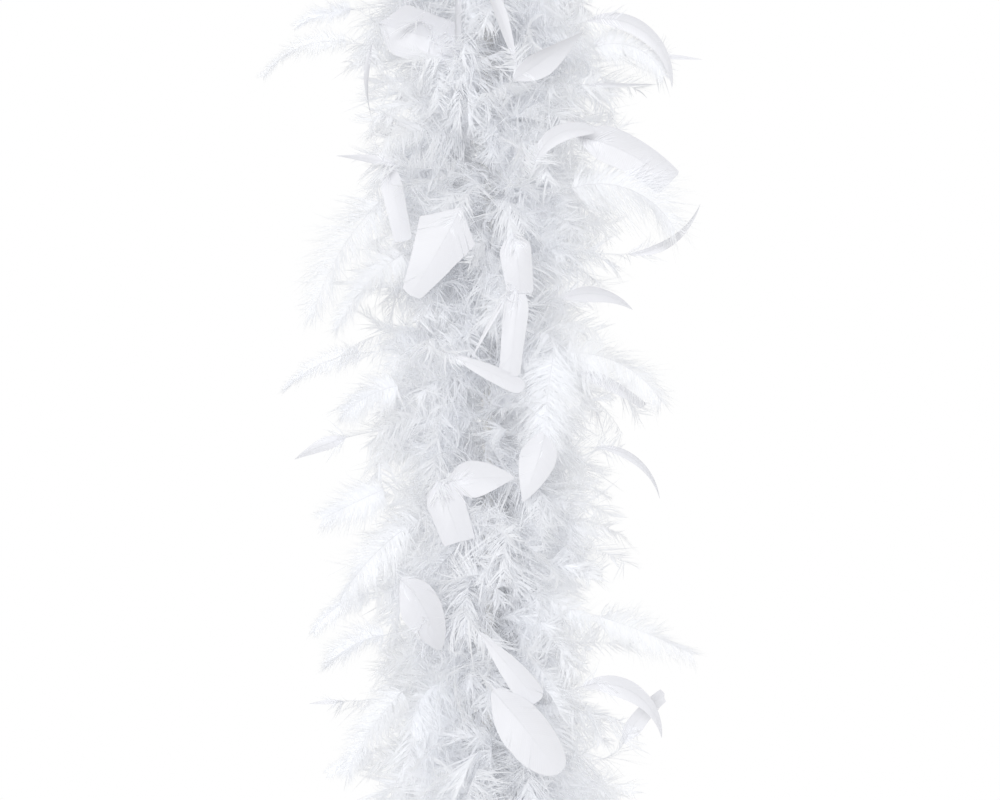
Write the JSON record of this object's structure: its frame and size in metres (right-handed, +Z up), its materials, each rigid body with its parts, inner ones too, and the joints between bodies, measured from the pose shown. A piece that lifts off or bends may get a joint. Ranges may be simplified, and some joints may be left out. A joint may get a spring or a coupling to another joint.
{
  "type": "feather boa",
  "caption": "Long fluffy feather boa: flat-tipped and downy feathers bound along a flexible cord, with a hanging loop and a knotted end.",
  "frame": {"origin": "bearing point inside the top of the hanging loop", "axes": "+Z up along the hanging cord, +X across the loop's eye"},
  "size_m": [0.17, 0.17, 1.833],
  "materials": {
    "cotton_cord": "matte twisted cotton",
    "binding_thread": "matte wound thread",
    "feather_down": "soft matte down",
    "feather_vane": "soft satin feather vane"
  },
  "bodies": {
    "stretch_01": {"hanging_loop": "cotton_cord", "top_whipping": "binding_thread", "core_cord_01": "cotton_cord", "binding_thread_01": "binding_thread", "down_plumes_01": "feather_down", "flat_feathers_01": "feather_vane"},
    "stretch_02": {"core_cord_02": "cotton_cord", "binding_thread_02": "binding_thread", "down_plumes_02": "feather_down", "flat_feathers_02": "feather_vane"},
    "stretch_03": {"core_cord_03": "cotton_cord", "binding_thread_03": "binding_thread", "down_plumes_03": "feather_down", "flat_feathers_03": "feather_vane"},
    "stretch_04": {"core_cord_04": "cotton_cord", "binding_thread_04": "binding_thread", "down_plumes_04": "feather_down", "flat_feathers_04": "feather_vane"},
    "stretch_05": {"core_cord_05": "cotton_cord", "binding_thread_05": "binding_thread", "down_plumes_05": "feather_down", "flat_feathers_05": "feather_vane"},
    "stretch_06": {"core_cord_06": "cotton_cord", "binding_thread_06": "binding_thread", "down_plumes_06": "feather_down", "flat_feathers_06": "feather_vane"},
    "stretch_07": {"core_cord_07": "cotton_cord", "binding_thread_07": "binding_thread", "down_plumes_07": "feather_down", "flat_feathers_07": "feather_vane"},
    "stretch_08": {"core_cord_08": "cotton_cord", "binding_thread_08": "binding_thread", "down_plumes_08": "feather_down", "flat_feathers_08": "feather_vane"},
    "stretch_09": {"core_cord_09": "cotton_cord", "binding_thread_09": "binding_thread", "down_plumes_09": "feather_down", "flat_feathers_09": "feather_vane"},
    "stretch_10": {"core_cord_10": "cotton_cord", "binding_thread_10": "binding_thread", "down_plumes_10": "feather_down", "flat_feathers_10": "feather_vane"},
    "stretch_11": {"core_cord_11": "cotton_cord", "binding_thread_11": "binding_thread", "down_plumes_11": "feather_down", "flat_feathers_11": "feather_vane"},
    "stretch_12": {"core_cord_12": "cotton_cord", "binding_thread_12": "binding_thread", "down_plumes_12": "feather_down", "flat_feathers_12": "feather_vane", "bottom_whipping": "binding_thread", "end_knot": "cotton_cord", "cord_tail": "cotton_cord"}
  },
  "joints": [
    {"name": "flex_01", "type": "hinge", "parent": "stretch_01", "child": "stretch_02", "pos_m": [0, 0, -0.1795], "axis": [1, 0, 0], "range_deg": [-60, 60]},
    {"name": "flex_02", "type": "hinge", "parent": "stretch_02", "child": "stretch_03", "pos_m": [0, 0, -0.327], "axis": [0, 1, 0], "range_deg": [-60, 60]},
    {"name": "flex_03", "type": "hinge", "parent": "stretch_03", "child": "stretch_04", "pos_m": [0, 0, -0.4745], "axis": [-1, 0, 0], "range_deg": [-60, 60]},
    {"name": "flex_04", "type": "hinge", "parent": "stretch_04", "child": "stretch_05", "pos_m": [0, 0, -0.622], "axis": [0, -1, 0], "range_deg": [-60, 60]},
    {"name": "flex_05", "type": "hinge", "parent": "stretch_05", "child": "stretch_06", "pos_m": [0, 0, -0.7695], "axis": [1, 0, 0], "range_deg": [-60, 60]},
    {"name": "flex_06", "type": "hinge", "parent": "stretch_06", "child": "stretch_07", "pos_m": [0, 0, -0.917], "axis": [0, 1, 0], "range_deg": [-60, 60]},
    {"name": "flex_07", "type": "hinge", "parent": "stretch_07", "child": "stretch_08", "pos_m": [0, 0, -1.0645], "axis": [-1, 0, 0], "range_deg": [-60, 60]},
    {"name": "flex_08", "type": "hinge", "parent": "stretch_08", "child": "stretch_09", "pos_m": [0, 0, -1.212], "axis": [0, -1, 0], "range_deg": [-60, 60]},
    {"name": "flex_09", "type": "hinge", "parent": "stretch_09", "child": "stretch_10", "pos_m": [0, 0, -1.3595], "axis": [1, 0, 0], "range_deg": [-60, 60]},
    {"name": "flex_10", "type": "hinge", "parent": "stretch_10", "child": "stretch_11", "pos_m": [0, 0, -1.507], "axis": [0, 1, 0], "range_deg": [-60, 60]},
    {"name": "flex_11", "type": "hinge", "parent": "stretch_11", "child": "stretch_12", "pos_m": [0, 0, -1.6545], "axis": [-1, 0, 0], "range_deg": [-60, 60]}
  ]
}
